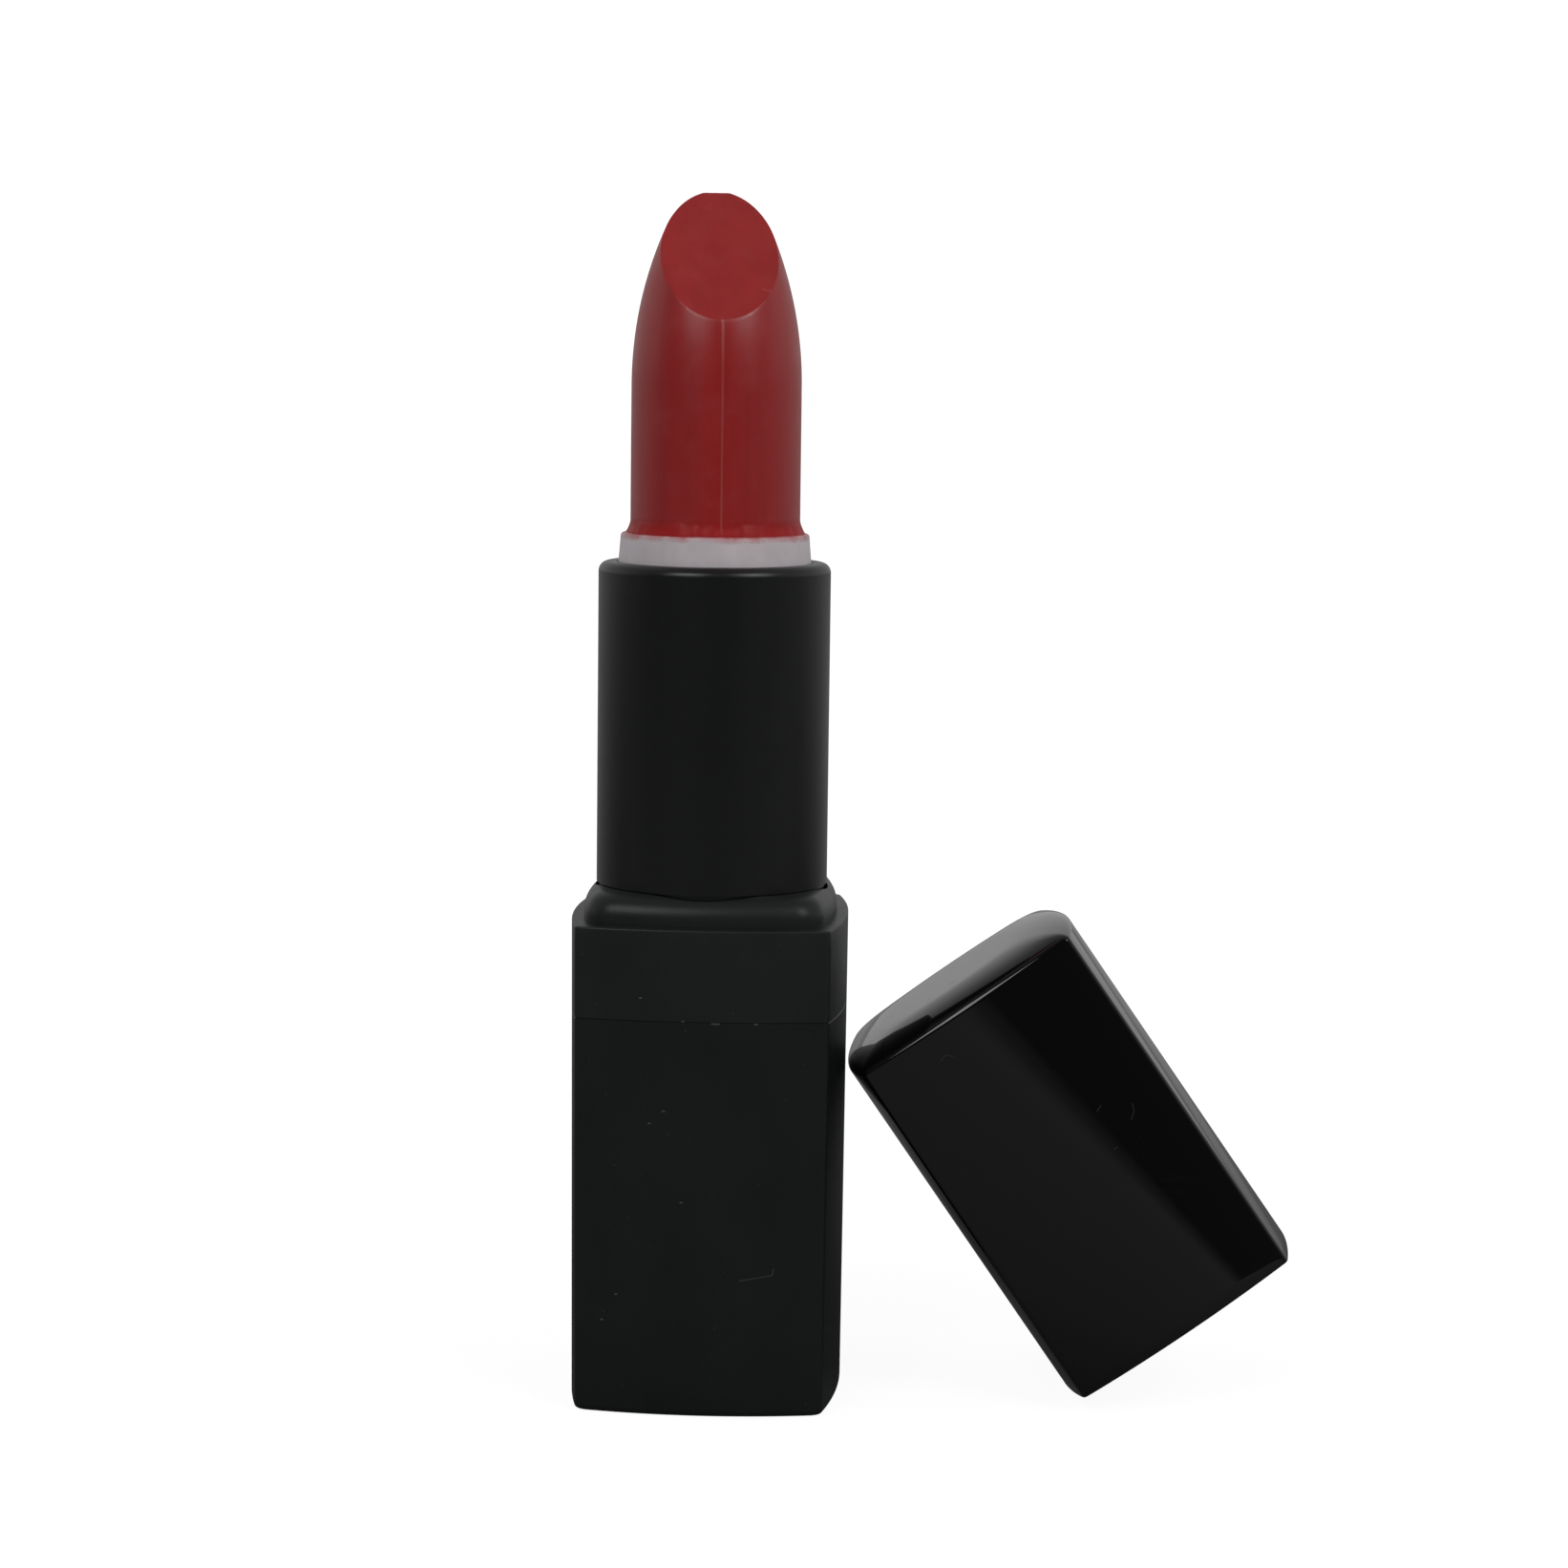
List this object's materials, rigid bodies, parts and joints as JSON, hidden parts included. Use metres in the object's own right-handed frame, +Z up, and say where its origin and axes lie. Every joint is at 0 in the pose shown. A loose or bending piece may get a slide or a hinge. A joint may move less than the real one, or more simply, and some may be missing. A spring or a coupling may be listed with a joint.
{
  "type": "lipstick case",
  "caption": "Square twist-up lipstick case with a round sleeve, a slanted bullet wound right up, and a glossy domed cap leaning on its side.",
  "frame": {"origin": "centre of the base's bottom face", "axes": "+Z up along the mechanism's axis, -Y the front, +X towards the leaning cap"},
  "size_m": [0.0519, 0.0232, 0.0861],
  "materials": {
    "case_black": "satin black with a soft touch",
    "sleeve_black": "satin black anodised",
    "cap_gloss_black": "polished gloss black",
    "liner_black": "as moulded",
    "cup_plastic": "milky translucent",
    "lipstick_wax": "semi-matt wax, deep red",
    "mechanism_plastic": "natural, as moulded",
    "weight_steel": "zinc plated",
    "ring_rubber": "plain",
    "label_film": "blank satin film"
  },
  "bodies": {
    "base": {"base_shell": "case_black", "shade_label": "label_film", "base_weight": "weight_steel", "base_core": "mechanism_plastic", "collar": "case_black", "slotted_tube": "mechanism_plastic", "friction_ring": "ring_rubber"},
    "sleeve": {"sleeve": "sleeve_black", "spiral_tube": "mechanism_plastic"},
    "cup": {"cup": "cup_plastic", "lipstick_bullet": "lipstick_wax"},
    "cap": {"cap_shell": "cap_gloss_black", "cap_liner": "liner_black"}
  },
  "joints": [
    {"name": "sleeve_turn", "type": "hinge", "parent": "base", "child": "sleeve", "pos_m": [0, 0, 0.03485], "axis": [0, 0, 1], "range_deg": [0, 900]},
    {"name": "cup_rise", "type": "slide", "parent": "base", "child": "cup", "axis": [0, 0, 1], "range_m": [-0.0275, 0]},
    {"name": "cap_tip", "type": "hinge", "parent": "base", "child": "cap", "pos_m": [0.02595, 0.0035, 0], "axis": [0, 1, 0], "range_deg": [0, 35]}
  ],
  "couplings": [
    {"joint": "sleeve_turn", "follows": "cup_rise", "rad_per_m": -571.19}
  ]
}
